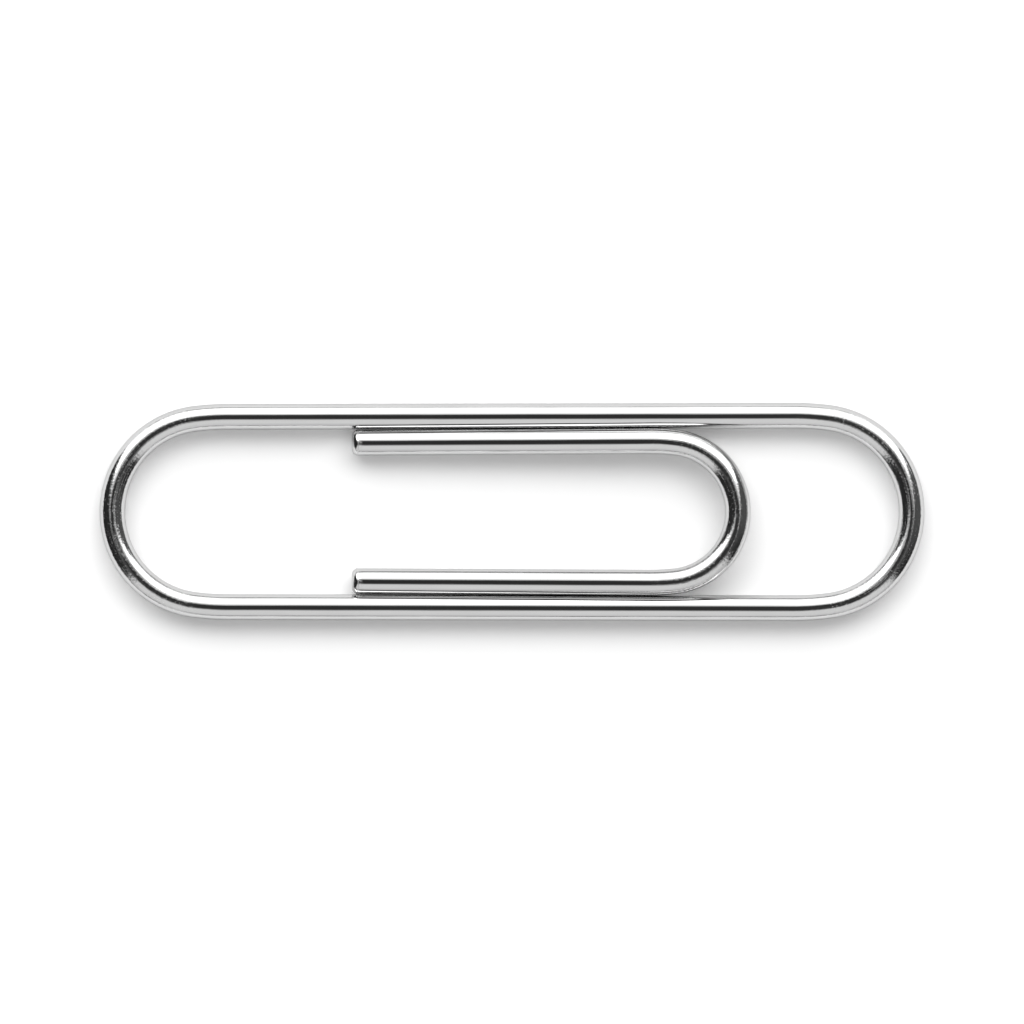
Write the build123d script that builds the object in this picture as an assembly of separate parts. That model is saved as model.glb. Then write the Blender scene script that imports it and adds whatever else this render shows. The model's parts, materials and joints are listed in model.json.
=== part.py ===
from build123d import *
import os
from math import acos, asin, atan2, cos, degrees, hypot, sin, tan

# Wire paper clip: a closed outer loop with a U-shaped tongue lying inside it, both of round wire.
# The origin is on the surface that the clip lies on, below the middle of the loop. +X runs along the
# clip to its head, where paper slips in under the tongue's nose. +Z is up. Sizes are in millimetres.

# Wire: the tongue's sheared ends are tumbled to a small round
WIRE_DIAMETER = 1.0
CUT_EDGE_ROUND = 0.18

# Outer loop, measured over the outside of the wire
LOOP_LENGTH = 32.0
HEAD_WIDTH = 8.46
TAIL_WIDTH = 8.38

# Tongue: its length from the nose to the cut ends, and the open window between its nose and the head
TONGUE_LENGTH = 15.46
HEAD_WINDOW = 5.74

# The tongue is set a little out of the loop's plane, so that paper finds its way under the nose. Each leg
# clears its rail at the cut end, and seen from above it overlaps the rail where it rises to the nose.
NOSE_RISE = 0.34
LEG_CLEARANCE = 0.015
LEG_OVERLAP = 0.02

# Every bend eases out of the straight wire on a shoulder arc and goes round its tip on a tighter one. The
# shoulder's radius, and how far the tip's radius falls short, are shares of the bend's half-width.
SHOULDER_RADIUS = 3.0
TIP_TIGHTENING = 0.015

# The loop lies on the surface, so its centreline is half a wire above it
wire_radius = WIRE_DIAMETER / 2
wire_height = wire_radius

# Shape that all bends share, for a half-width of 1: the tip's radius, the turn of the shoulder and the
# distance from the widest place to the tip
tip_share = 1 - TIP_TIGHTENING
shoulder_turn = acos((SHOULDER_RADIUS - 1) / (SHOULDER_RADIUS - tip_share))
bend_share = tip_share + (SHOULDER_RADIUS - tip_share) * sin(shoulder_turn)


def lean_between(start, start_radius, end, end_radius):
    """Angle to the X axis of the straight wire that runs along the left of two circles, given by centres."""
    run = end[0] - start[0]
    climb = end[1] - start[1]
    return atan2(climb, run) + asin((end_radius - start_radius) / hypot(run, climb))


def shoulder_centre(tip, half_width):
    """Centre of the left shoulder arc of a bend that faces +X."""
    return tip - bend_share * half_width, half_width - SHOULDER_RADIUS * half_width


# The loop's centreline is two end bends joined by straight rails, which open slightly towards the head
head_half = (HEAD_WIDTH - WIRE_DIAMETER) / 2
tail_half = (TAIL_WIDTH - WIRE_DIAMETER) / 2
loop_tip = (LOOP_LENGTH - WIRE_DIAMETER) / 2
head_x, head_y = shoulder_centre(loop_tip, head_half)
tail_x, tail_y = shoulder_centre(loop_tip, tail_half)
head_shoulder = SHOULDER_RADIUS * head_half
tail_shoulder = SHOULDER_RADIUS * tail_half
rail_lean = lean_between((-tail_x, tail_y), tail_shoulder, (head_x, head_y), head_shoulder)
rail_slope = tan(rail_lean)
rail_half = head_y + head_shoulder / cos(rail_lean) - head_x * rail_slope

# Each leg of the tongue runs along its rail, so the rails and the nose's place give the nose its width
nose_front = LOOP_LENGTH / 2 - WIRE_DIAMETER - HEAD_WINDOW
nose_tip = nose_front - wire_radius
leg_end = nose_front - TONGUE_LENGTH
nose_gap = WIRE_DIAMETER - LEG_OVERLAP
nose_half = (rail_half + nose_tip * rail_slope - nose_gap) / (1 + bend_share * rail_slope)
leg_end_half = rail_half + leg_end * rail_slope - WIRE_DIAMETER - LEG_CLEARANCE
nose_centre = shoulder_centre(nose_tip, nose_half)
leg_lean = lean_between((leg_end, leg_end_half), 0, nose_centre, SHOULDER_RADIUS * nose_half)
tongue_tilt = asin(NOSE_RISE / (nose_tip - leg_end))


def bend(tip, half_width, lean):
    """The three arcs of a bend that faces +X, from left of the X axis to right. Lean is its straights' angle."""
    radius = SHOULDER_RADIUS * half_width
    x, y = shoulder_centre(tip, half_width)
    start = (x - radius * sin(lean), y + radius * cos(lean), wire_height)
    heading = (cos(lean), sin(lean))
    left = JernArc(start, heading, radius, -degrees(lean + shoulder_turn))
    front = JernArc(left @ 1, left % 1, tip_share * half_width, 2 * degrees(shoulder_turn) - 180)
    return left, front, left.mirror(Plane.XZ)


def loop_centreline():
    """Closed path: along the left rail, round the head, along the right rail and round the tail."""
    head = bend(loop_tip, head_half, rail_lean)
    tail = [arc.mirror(Plane.YZ) for arc in bend(loop_tip, tail_half, -rail_lean)]
    left_rail = Line(tail[0] @ 0, head[0] @ 0)
    return Wire([left_rail, *head, left_rail.mirror(Plane.XZ), *tail])


def tongue_centreline():
    """Open path: along the left leg from its cut end, round the nose and back along the right leg."""
    nose = bend(nose_tip, nose_half, leg_lean)
    left_leg = Line((leg_end, leg_end_half, wire_height), nose[0] @ 0)
    return Wire([left_leg, *nose, left_leg.mirror(Plane.XZ)])


def bent_wire(centreline):
    """Round wire bent along a path."""
    section = Plane(origin=centreline @ 0, z_dir=centreline % 0) * Circle(wire_radius)
    return sweep(section, path=centreline)


def outer_loop():
    """The frame of the clip, one wire closed on itself by a flush butt weld."""
    return bent_wire(loop_centreline())


def inner_tongue():
    """The spring tongue, one wire with two sheared ends, bent flat and then tilted up about those ends."""
    wire = bent_wire(tongue_centreline())
    cut_edges = wire.faces().filter_by(GeomType.PLANE).edges()
    rounded = fillet(cut_edges, CUT_EDGE_ROUND)
    end_line = Axis((leg_end, 0, wire_height), (0, 1, 0))
    return rounded.rotate(end_line, -degrees(tongue_tilt))


os.makedirs("parts", exist_ok=True)
export_step(outer_loop(), "parts/outer_loop.step")
export_step(inner_tongue(), "parts/inner_tongue.step")
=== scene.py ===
import json
import math

import bpy
from mathutils import Matrix, Vector


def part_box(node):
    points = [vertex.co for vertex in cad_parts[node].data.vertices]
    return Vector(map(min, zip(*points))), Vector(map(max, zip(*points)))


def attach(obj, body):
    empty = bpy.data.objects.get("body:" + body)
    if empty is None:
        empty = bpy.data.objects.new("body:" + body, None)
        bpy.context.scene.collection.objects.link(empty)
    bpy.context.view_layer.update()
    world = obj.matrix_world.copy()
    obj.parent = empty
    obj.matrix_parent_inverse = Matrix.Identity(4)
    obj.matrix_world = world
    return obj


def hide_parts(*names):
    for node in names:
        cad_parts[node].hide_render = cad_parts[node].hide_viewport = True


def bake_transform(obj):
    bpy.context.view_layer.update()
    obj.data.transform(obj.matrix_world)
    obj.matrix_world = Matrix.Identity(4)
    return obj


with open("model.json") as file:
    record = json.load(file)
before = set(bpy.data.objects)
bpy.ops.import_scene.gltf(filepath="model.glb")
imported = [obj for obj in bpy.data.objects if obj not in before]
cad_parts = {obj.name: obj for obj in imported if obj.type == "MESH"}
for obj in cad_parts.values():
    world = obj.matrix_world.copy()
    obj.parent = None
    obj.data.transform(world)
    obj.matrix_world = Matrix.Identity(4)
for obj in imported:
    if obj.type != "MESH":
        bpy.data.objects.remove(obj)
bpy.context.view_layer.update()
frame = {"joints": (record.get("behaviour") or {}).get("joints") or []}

MM = 0.001

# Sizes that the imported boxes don't give: the loop's width at its tail, the spacing between the
# centrelines of a leg's cut end and its rail, and the rounding of the cut edge
TAIL_WIDTH = 8.38 * MM
END_SPACING = 1.015 * MM
CUT_ROUND = 0.18 * MM

# Radii of a bend's shoulder and of its tip, as shares of its half-width
SHOULDER_RADIUS = 3.0
TIP_RADIUS = 0.985

# Fineness of the wire meshes
SIDES = 72
LINE_STEP = 0.3 * MM
ARC_STEP = 0.15 * MM
ROUND_RINGS = 12
FACE_RINGS = 4

# Cut ends. The shear rolls the upper edge over further than the lower one. With a flatness of 1 the
# edge would be a round, and with 2 a straight bevel. Plain wire starts at the end length.
ROLL_OVER = 0.06 * MM
EDGE_FLATNESS = 1.35
END_LENGTH = 0.5 * MM

# Faint crease behind each cut edge: the spacing and number of its rings, its depth in the dents round the
# wire, the share of that depth between them, half the number of dents, the angle that they are turned by,
# and how dull it is beside a cut face
CREASE_STEP = 0.008 * MM
CREASE_STEPS = 6
CREASE_DEPTH = 0.014 * MM
CREASE_EVENNESS = 0.35
CREASE_WAVES = 8
CREASE_TURN = 0.4
CREASE_DULLNESS = 2.0

# Plating: its two shades of grey, and the grey that tints it at glancing angles
PLATING_SHADES = (0.62, 0.69)
GLANCING_SHADE = 0.65

# Marks on the wire, each a noise: how many times longer than wide, how many to a millimetre, its detail
LINES = (40, 16, 2)
GRAIN = (0.8, 10, 2)
CLOUDS = (3, 1.5, 3)

# Radius of a full bend: one as tight as this, or tighter, has the most haze and grain
FULL_BEND = 3.6 * MM

# Haze in the bends: the range of the grain and of the lines that shows in it, and the lines' weight
HAZY_GRAIN = (0.47, 0.75)
HAZY_LINES = (0.5, 0.75)
HAZY_LINE_WEIGHT = 1.2

# Roughness of the bare plating, and what full haze, the lines and a cut face add to it
ROUGHNESS = 0.07
HAZE_ROUGHNESS = 0.18
LINE_ROUGHNESS = 0.04
CUT_ROUGHNESS = 0.2

# Depth of the lines on a straight, what a full bend adds to it, and the depth of the grain there
LINE_DEPTH = 0.001 * MM
BENT_LINE_DEPTH = 0.002 * MM
GRAIN_DEPTH = 0.004 * MM

# Camera: the picture's width at the height of the wire's axis, the sensor and the lens in millimetres as
# Blender takes them, and the point that it is straight above
FRAME_WIDTH = 39.717 * MM
SENSOR_WIDTH = 36.0
LENS = 300.0
CLIP_START = 10 * MM
AIM = Vector((0, -0.006 * MM, 0))

# Floor: its size in metres, its grey, and the glow that makes it white where nothing shades it
FLOOR_SIZE = 20
FLOOR_SHADE = 0.9
FLOOR_GLOW = 0.12

# The studio's light goes by direction alone, and radiance is a share of white paper's in full light. A pair
# says where a fade starts and where it is full: in degrees off straight up for the core's and the fill's
# edge, and as a part of the direction's unit vector where nothing else is said.

# Key: a bright diffuser over the +Y side, with a squarish dark opening for the camera. The opening has
# half-sizes in X and Y, the edge is in shares of them, and the two sides slope and lean with height.
KEY_RADIANCE = 1.6
KEY_OPENING = (0.28, 0.25)
KEY_SQUARENESS = 8
KEY_EDGE = (0.64, 2.0)
KEY_FOOT = (0.0, 0.14)
KEY_SIDE_SLOPES = (-0.78, 0.8)
KEY_SIDE_LEAN = 0.3
KEY_SIDE_SOFTNESS = 0.07

# Core: the band across the key that its lamp makes brighter
CORE_RADIANCE = 2.8
CORE_EDGE = (28, 48)
CORE_FOOT = (0.2, 0.7)

# Fill: a paler diffuser on the -Y side, dimmed by a share towards its foot
FILL_RADIANCE = 0.88
FILL_EDGE = (18, 34)
FILL_FOOT = (0.03, 0.11)
FILL_DIMMING = 0.2
FILL_DIMMED = (0.5, 0.15)
FILL_SIDE_SLOPES = (-0.84, 0.84)
FILL_SIDE_SOFTNESS = 0.05

# Rim: a faint ring of light round the camera, with an axis that leans to -Y, where the ring fades out. The
# lean and the angles off that axis are in degrees.
RIM_RADIANCE = 0.08
RIM_LEAN = 3
RIM_INNER = (12, 19)
RIM_OUTER = (29, 22)
RIM_ENDS = (-0.45, 0.0)

# Room: nearly dark, with a glow that grows towards +X and fades out towards -Y
ROOM_RADIANCE = 0.026
GLOW_RADIANCE = 0.07
GLOW_ALONG = (-0.3, 0.9)
GLOW_ACROSS = (-0.5, -0.05)

# Places on the wires' centrelines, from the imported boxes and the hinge, which lies a wire's radius up
hinge = Vector(frame["joints"][0]["pos_m"])
wire_radius = hinge.z
_, loop_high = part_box("outer_loop")
tongue_low, tongue_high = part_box("inner_tongue")
head_half = loop_high.y - wire_radius
tail_half = TAIL_WIDTH / 2 - wire_radius
nose_half = tongue_high.y - wire_radius
loop_tip = loop_high.x - wire_radius
nose_tip = tongue_high.x - wire_radius
nose_rise = tongue_high.z - 2 * wire_radius
leg_end = tongue_low.x

# Shape that all bends share, for a half-width of 1
shoulder_turn = math.acos((SHOULDER_RADIUS - 1) / (SHOULDER_RADIUS - TIP_RADIUS))
bend_share = TIP_RADIUS + (SHOULDER_RADIUS - TIP_RADIUS) * math.sin(shoulder_turn)


def shoulder_centre(tip, half_width):
    """Centre of the left shoulder arc of a bend that faces +X."""
    return Vector((tip - bend_share * half_width, half_width * (1 - SHOULDER_RADIUS)))


def lean_between(start, start_radius, end, end_radius):
    """Angle to the X axis of the straight wire along the left of two circles."""
    gap = end - start
    return math.atan2(gap.y, gap.x) + math.asin((end_radius - start_radius) / gap.length)


# The rails touch the shoulders of both ends of the loop
head_centre = shoulder_centre(loop_tip, head_half)
tail_centre = shoulder_centre(loop_tip, tail_half) * Vector((-1, 1))
rail_lean = lean_between(
    tail_centre, SHOULDER_RADIUS * tail_half, head_centre, SHOULDER_RADIUS * head_half
)


def arc(centre, radius, start, end):
    """Points of an arc between two angles, which run clockwise from +Y."""
    steps = math.ceil(radius * (end - start) / ARC_STEP)
    points = []
    for i in range(steps + 1):
        angle = start + (end - start) * i / steps
        x = centre[0] + radius * math.sin(angle)
        y = centre[1] + radius * math.cos(angle)
        points.append(Vector((x, y, wire_radius)))
    return points


def half_bend(tip, half_width, lean):
    """Points of the left half of a bend that faces +X, from the straight wire to the tip."""
    tip_radius = TIP_RADIUS * half_width
    centre = shoulder_centre(tip, half_width)
    shoulder = arc(centre, SHOULDER_RADIUS * half_width, -lean, shoulder_turn)
    return shoulder[:-1] + arc((tip - tip_radius, 0), tip_radius, shoulder_turn, math.pi / 2)


def straight_run(start, end):
    """Points strictly between two ends of a straight."""
    steps = math.ceil((end - start).length / LINE_STEP)
    return [start.lerp(end, i / steps) for i in range(1, steps)]


def mirrored(points):
    """The same points on the -Y side, in reverse order."""
    return [Vector((p.x, -p.y, p.z)) for p in reversed(points)]


def loop_points():
    """Closed centreline of the outer loop, clockwise seen from above, from the tip of its tail."""
    flip = Matrix.Diagonal((-1, 1, 1))
    tail = [flip @ p for p in half_bend(loop_tip, tail_half, -rail_lean)]
    head = half_bend(loop_tip, head_half, rail_lean)
    side = tail[::-1] + straight_run(tail[0], head[0]) + head
    return side + mirrored(side[1:-1])


def tongue_points():
    """Open centreline of the flat tongue, from the cut end of its left leg to that of its right one."""
    rail_end = half_bend(loop_tip, head_half, rail_lean)[0]
    end_half = rail_end.y + (leg_end - rail_end.x) * math.tan(rail_lean) - END_SPACING
    cut = Vector((leg_end, end_half, wire_radius))
    nose_centre = shoulder_centre(nose_tip, nose_half)
    lean = lean_between(cut.xy, 0, nose_centre, SHOULDER_RADIUS * nose_half)
    nose = half_bend(nose_tip, nose_half, lean)
    clear = cut + (nose[0] - cut).normalized() * END_LENGTH
    side = [cut, clear] + straight_run(clear, nose[0]) + nose
    return side + mirrored(side[:-1])


def headings(points, closed):
    """Unit vectors along a centreline at each of its points."""
    last = len(points) - 1
    for i in range(last + 1):
        behind = points[i - 1] if closed or i > 0 else points[i]
        ahead = points[(i + 1) % (last + 1)] if closed or i < last else points[i]
        yield (ahead - behind).normalized()


def plain_radius(angle):
    """Radius of plain wire, the same all round."""
    return wire_radius


def ring(point, forward, radius=plain_radius, advance=None):
    """Points round the wire, from its underside.

    The radius, and the advance along the wire, go by the angle off the top.
    """
    side = Vector((-forward.y, forward.x, 0))
    up = Vector((0, 0, 1))
    points = []
    for i in range(SIDES):
        angle = math.pi + 2 * math.pi * i / SIDES
        start = point + forward * advance(angle) if advance else point
        points.append(start + (side * math.sin(angle) + up * math.cos(angle)) * radius(angle))
    return points


def edge_round(angle):
    """Rounding of a cut end's edge at an angle off the top of the wire."""
    return CUT_ROUND + ROLL_OVER * math.cos(angle)


def crease_share(step):
    """How much of the crease is left at a step along it: all in its middle, little at its edges."""
    return math.exp(-(step - CREASE_STEPS / 2) ** 2 / CREASE_STEPS)


def dent(angle):
    """Share of the crease's depth at an angle off the top of the wire: full in each dent."""
    wave = math.cos(CREASE_WAVES * angle + CREASE_TURN) ** 2
    return CREASE_EVENNESS + (1 - CREASE_EVENNESS) * wave


def end_rings(end, forward):
    """Rings over a cut end, from its face to past its crease. Forward points into the wire."""
    rings = []
    for i in range(1, FACE_RINGS):
        share = i / FACE_RINGS
        rings.append(ring(end, forward, lambda a: (wire_radius - edge_round(a)) * share))
    for i in range(ROUND_RINGS + 1):
        turn = i / ROUND_RINGS * math.pi / 2
        short = 1 - math.sin(turn) ** EDGE_FLATNESS
        back = 1 - math.cos(turn) ** EDGE_FLATNESS
        rings.append(ring(
            end, forward, lambda a: wire_radius - edge_round(a) * short, lambda a: edge_round(a) * back
        ))
    for i in range(1, CREASE_STEPS + 1):
        depth = CREASE_DEPTH * crease_share(i)
        rings.append(ring(
            end, forward, lambda a: wire_radius - depth * dent(a), lambda a: edge_round(a) + CREASE_STEP * i
        ))
    return rings


def turned(points, forward):
    """How far each point of a centreline lies in a bend, from 0 on a straight to 1 in a full bend."""
    amounts = []
    for i in range(len(points)):
        after = (i + 1) % len(points)
        run = (points[after] - points[i - 1]).length
        amounts.append(min(1.0, forward[i - 1].angle(forward[after]) / run * FULL_BEND))
    return amounts


def skin(name, rings, bends, cuts, closed):
    """Mesh object over the rings. UV holds the distance along and around the wire in millimetres."""
    girth = 2 * math.pi * wire_radius / MM
    count = len(rings)
    distances = [0.0]
    for a, b in zip(rings, rings[1:] + rings[:1]):
        distances.append(distances[-1] + (b[0] - a[0]).length / MM)
    faces = []
    coordinates = []
    for i in range(count if closed else count - 1):
        low, high = distances[i], distances[i + 1]
        a, b = i * SIDES, (i + 1) % count * SIDES
        for k in range(SIDES):
            m = (k + 1) % SIDES
            faces.append((a + k, b + k, b + m, a + m))
            near, far = girth * k / SIDES, girth * (k + 1) / SIDES
            coordinates += [low, near, high, near, high, far, low, far]
    if not closed:
        faces.append(tuple(range(SIDES)))
        faces.append(tuple(reversed(range((count - 1) * SIDES, count * SIDES))))
        coordinates += [0.0] * (4 * SIDES)
    mesh = bpy.data.meshes.new(name)
    mesh.from_pydata([p for r in rings for p in r], [], faces)
    mesh.uv_layers.new(name="wire").data.foreach_set("uv", coordinates)
    for label, values in (("bend", bends), ("cut", cuts)):
        attribute = mesh.attributes.new(label, "FLOAT", "POINT")
        attribute.data.foreach_set("value", [v for v in values for _ in range(SIDES)])
    mesh.shade_smooth()
    obj = bpy.data.objects.new(name, mesh)
    bpy.context.scene.collection.objects.link(obj)
    return obj


def make_loop():
    """The outer loop, plain wire closed on itself."""
    points = loop_points()
    forward = list(headings(points, closed=True))
    rings = [ring(p, f) for p, f in zip(points, forward)]
    return skin("loop_wire", rings, turned(points, forward), [0.0] * len(rings), closed=True)


def make_tongue():
    """The tongue, made flat and then tilted up about its cut ends."""
    points = tongue_points()
    forward = list(headings(points, closed=False))
    start = end_rings(points[0], forward[0])
    # The other end is made looking into the wire too, so its rings are turned the other way round
    finish = [r[:1] + r[:0:-1] for r in reversed(end_rings(points[-1], -forward[-1]))]
    body = [ring(p, f) for p, f in zip(points[1:-1], forward[1:-1])]
    bends = [0.0] * len(start) + turned(points, forward)[1:-1] + [0.0] * len(finish)
    face = [1.0] * (FACE_RINGS + ROUND_RINGS // 2)
    crease = [CREASE_DULLNESS * crease_share(i) for i in range(1, CREASE_STEPS + 1)]
    cut = face + [0.0] * (len(start) - len(face) - len(crease)) + crease
    cuts = cut + [0.0] * len(body) + cut[::-1]
    obj = skin("tongue_wire", start + body + finish, bends, cuts, closed=False)
    pivot = Vector((leg_end, 0, wire_radius))
    tilt = Matrix.Rotation(-math.asin(nose_rise / (nose_tip - leg_end)), 4, "Y")
    obj.data.transform(Matrix.Translation(pivot) @ tilt @ Matrix.Translation(-pivot))
    return obj


def connect(tree, socket, value):
    """Give a socket a number, or link it to another node's output."""
    if isinstance(value, (int, float)):
        socket.default_value = value
    else:
        tree.links.new(value, socket)


def calculate(tree, operation, *values):
    """Output of a Math node."""
    node = tree.nodes.new("ShaderNodeMath")
    node.operation = operation
    for socket, value in zip(node.inputs, values):
        connect(tree, socket, value)
    return node.outputs[0]


def product(tree, first, *others):
    """Output that multiplies two or more values."""
    for other in others:
        first = calculate(tree, "MULTIPLY", first, other)
    return first


def fade(tree, value, start, end):
    """Output that rises smoothly from 0 to 1 as a value goes from start to end."""
    node = tree.nodes.new("ShaderNodeMapRange")
    node.interpolation_type = "SMOOTHSTEP"
    connect(tree, node.inputs["Value"], value)
    node.inputs["From Min"].default_value = start
    node.inputs["From Max"].default_value = end
    return node.outputs[0]


def fade_by_angle(tree, cosine, start, end):
    """Output that rises from 0 to 1 as a direction turns from one angle off an axis to another."""
    return fade(tree, cosine, math.cos(math.radians(start)), math.cos(math.radians(end)))


def split(tree, vector):
    """Outputs of a vector's three parts."""
    node = tree.nodes.new("ShaderNodeSeparateXYZ")
    tree.links.new(vector, node.inputs[0])
    return list(node.outputs)


def noise(tree, along, around, stretch, fineness, detail):
    """Noise over the wire's surface. Stretch is how many times longer than wide its marks are."""
    vector = tree.nodes.new("ShaderNodeCombineXYZ")
    connect(tree, vector.inputs[0], calculate(tree, "DIVIDE", along, stretch))
    connect(tree, vector.inputs[1], around)
    node = tree.nodes.new("ShaderNodeTexNoise")
    tree.links.new(vector.outputs[0], node.inputs["Vector"])
    node.inputs["Scale"].default_value = fineness
    node.inputs["Detail"].default_value = detail
    return node.outputs["Fac"]


def value_of(tree, name):
    """Output of a mesh attribute."""
    node = tree.nodes.new("ShaderNodeAttribute")
    node.attribute_name = name
    return node.outputs["Fac"]


def grey(shade):
    """Colour without a hue."""
    return (shade, shade, shade, 1)


def plating_colour(tree, clouds):
    """Output of a grey that wanders between the plating's two shades."""
    node = tree.nodes.new("ShaderNodeMix")
    node.data_type = "RGBA"
    node.inputs["A"].default_value = grey(PLATING_SHADES[0])
    node.inputs["B"].default_value = grey(PLATING_SHADES[1])
    tree.links.new(clouds, node.inputs["Factor"])
    return node.outputs["Result"]


def wire_roughness(tree, lines, grain, bend, cut):
    """Output of the roughness: low on a straight, hazy in specks and lines in a bend, dull at a cut end."""
    specks = fade(tree, grain, *HAZY_GRAIN)
    marks = calculate(tree, "MULTIPLY_ADD", fade(tree, lines, *HAZY_LINES), HAZY_LINE_WEIGHT, specks)
    haze = calculate(tree, "MULTIPLY", marks, bend)
    rough = calculate(tree, "MULTIPLY_ADD", haze, HAZE_ROUGHNESS, ROUGHNESS)
    rough = calculate(tree, "MULTIPLY_ADD", lines, LINE_ROUGHNESS, rough)
    return calculate(tree, "MULTIPLY_ADD", cut, CUT_ROUGHNESS, rough)


def wire_bump(tree, lines, grain, bend):
    """Output of the normal over lines that get deeper in a bend, where there is grain too."""
    depth = calculate(tree, "MULTIPLY_ADD", bend, BENT_LINE_DEPTH, LINE_DEPTH)
    height = calculate(tree, "MULTIPLY", lines, depth)
    bent_grain = calculate(tree, "MULTIPLY", grain, bend)
    height = calculate(tree, "MULTIPLY_ADD", bent_grain, GRAIN_DEPTH, height)
    node = tree.nodes.new("ShaderNodeBump")
    node.inputs["Distance"].default_value = 1.0
    tree.links.new(height, node.inputs["Height"])
    return node.outputs[0]


def bright_wire():
    """Bright plated wire: fine drawn lines, a grainier skin where it was bent and dull cut ends."""
    material = bpy.data.materials.new("bright_wire")
    material.use_nodes = True
    tree = material.node_tree
    shader = tree.nodes["Principled BSDF"]
    shader.inputs["Metallic"].default_value = 1.0
    shader.inputs["Specular Tint"].default_value = grey(GLANCING_SHADE)
    place = tree.nodes.new("ShaderNodeUVMap")
    place.uv_map = "wire"
    along, around, _ = split(tree, place.outputs[0])
    lines, grain, clouds = (noise(tree, along, around, *mark) for mark in (LINES, GRAIN, CLOUDS))
    bend, cut = value_of(tree, "bend"), value_of(tree, "cut")
    tree.links.new(plating_colour(tree, clouds), shader.inputs["Base Color"])
    tree.links.new(wire_roughness(tree, lines, grain, bend, cut), shader.inputs["Roughness"])
    tree.links.new(wire_bump(tree, lines, grain, bend), shader.inputs["Normal"])
    return material


def floor():
    """Matt white floor, which also looks white to the eye and in the metal where it is in full light."""
    bpy.ops.mesh.primitive_plane_add(size=FLOOR_SIZE)
    plane = bpy.context.object
    plane.name = "floor"
    material = bpy.data.materials.new("floor")
    material.use_nodes = True
    tree = material.node_tree
    shader = tree.nodes["Principled BSDF"]
    shader.inputs["Base Color"].default_value = grey(FLOOR_SHADE)
    shader.inputs["Roughness"].default_value = 1.0
    shader.inputs["Specular IOR Level"].default_value = 0.0
    shader.inputs["Emission Color"].default_value = grey(1)
    path = tree.nodes.new("ShaderNodeLightPath")
    seen = calculate(tree, "MAXIMUM", path.outputs["Is Camera Ray"], path.outputs["Is Glossy Ray"])
    seen = calculate(tree, "MAXIMUM", seen, path.outputs["Is Transmission Ray"])
    glow = calculate(tree, "MULTIPLY", seen, FLOOR_GLOW)
    tree.links.new(glow, shader.inputs["Emission Strength"])
    plane.data.materials.append(material)


def key_light(tree, x, y, z):
    """Radiance of the key and its core."""
    wide = calculate(tree, "DIVIDE", calculate(tree, "ABSOLUTE", x), KEY_OPENING[0])
    deep = calculate(tree, "DIVIDE", calculate(tree, "MAXIMUM", y, 0.0), KEY_OPENING[1])
    powers = [calculate(tree, "POWER", v, KEY_SQUARENESS) for v in (wide, deep)]
    reach = calculate(tree, "POWER", calculate(tree, "ADD", *powers), 1 / KEY_SQUARENESS)
    light = product(tree, fade(tree, reach, *KEY_EDGE), fade(tree, z, *KEY_FOOT), KEY_RADIANCE)
    core = product(tree, fade_by_angle(tree, z, *CORE_EDGE), fade(tree, z, *CORE_FOOT))
    light = calculate(tree, "MULTIPLY_ADD", core, CORE_RADIANCE, light)
    over = calculate(tree, "MULTIPLY_ADD", z, KEY_SIDE_LEAN, y)
    for slope in KEY_SIDE_SLOPES:
        inside = calculate(tree, "MULTIPLY_ADD", x, -slope, over)
        light = product(tree, light, fade(tree, inside, -KEY_SIDE_SOFTNESS, KEY_SIDE_SOFTNESS))
    return light


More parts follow.
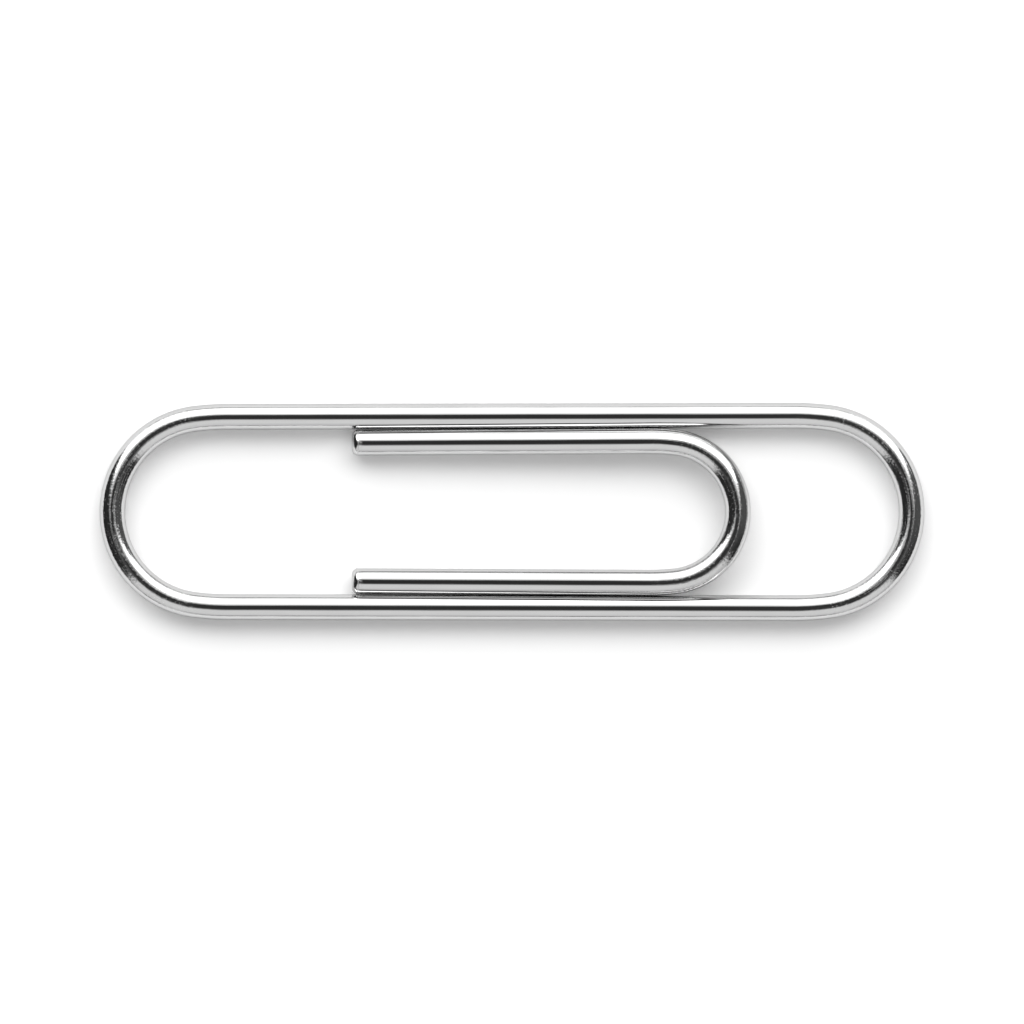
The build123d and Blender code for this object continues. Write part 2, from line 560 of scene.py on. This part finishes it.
def fill_light(tree, x, y, z):
    """Radiance of the fill."""
    dimmed = calculate(tree, "MULTIPLY_ADD", fade(tree, z, *FILL_DIMMED), -FILL_DIMMING, 1.0)
    light = product(tree, fade_by_angle(tree, z, *FILL_EDGE), fade(tree, z, *FILL_FOOT), dimmed)
    for slope in FILL_SIDE_SLOPES:
        outside = calculate(tree, "MULTIPLY_ADD", x, slope, y)
        light = product(tree, light, fade(tree, outside, FILL_SIDE_SOFTNESS, -FILL_SIDE_SOFTNESS))
    return product(tree, light, FILL_RADIANCE)


def room_light(tree, x, y, z):
    """Radiance of the room, its glow and the rim."""
    glow = product(tree, fade(tree, x, *GLOW_ALONG), fade(tree, y, *GLOW_ACROSS))
    room = calculate(tree, "MULTIPLY_ADD", glow, GLOW_RADIANCE, ROOM_RADIANCE)
    lean = math.radians(RIM_LEAN)
    aside = calculate(tree, "MULTIPLY", y, -math.sin(lean))
    axial = calculate(tree, "MULTIPLY_ADD", z, math.cos(lean), aside)
    rim = product(tree, fade_by_angle(tree, axial, *RIM_INNER), fade_by_angle(tree, axial, *RIM_OUTER))
    rim = product(tree, rim, fade(tree, y, *RIM_ENDS))
    return calculate(tree, "MULTIPLY_ADD", rim, RIM_RADIANCE, room)


def studio():
    """World of white light: a dim room with the key over the +Y side and the fill on the -Y side."""
    world = bpy.data.worlds.new("studio")
    world.use_nodes = True
    tree = world.node_tree
    direction = split(tree, tree.nodes.new("ShaderNodeTexCoord").outputs["Generated"])
    total = calculate(tree, "ADD", key_light(tree, *direction), fill_light(tree, *direction))
    total = calculate(tree, "ADD", total, room_light(tree, *direction))
    background = tree.nodes["Background"]
    background.inputs["Color"].default_value = grey(1)
    tree.links.new(total, background.inputs["Strength"])
    bpy.context.scene.world = world


def camera():
    """Camera straight above the clip, with the picture's top towards +Y."""
    data = bpy.data.cameras.new("camera")
    data.sensor_width = SENSOR_WIDTH
    data.lens = LENS
    data.clip_start = CLIP_START
    obj = bpy.data.objects.new("camera", data)
    obj.location = AIM + Vector((0, 0, wire_radius + FRAME_WIDTH * LENS / SENSOR_WIDTH))
    bpy.context.scene.collection.objects.link(obj)
    bpy.context.scene.camera = obj


bpy.context.scene.view_settings.view_transform = "Standard"
camera()
studio()
floor()
wire = bright_wire()
loop = make_loop()
loop.data.materials.append(wire)
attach(loop, "loop")
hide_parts("outer_loop")
tongue = make_tongue()
tongue.data.materials.append(wire)
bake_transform(tongue)
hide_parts("inner_tongue")
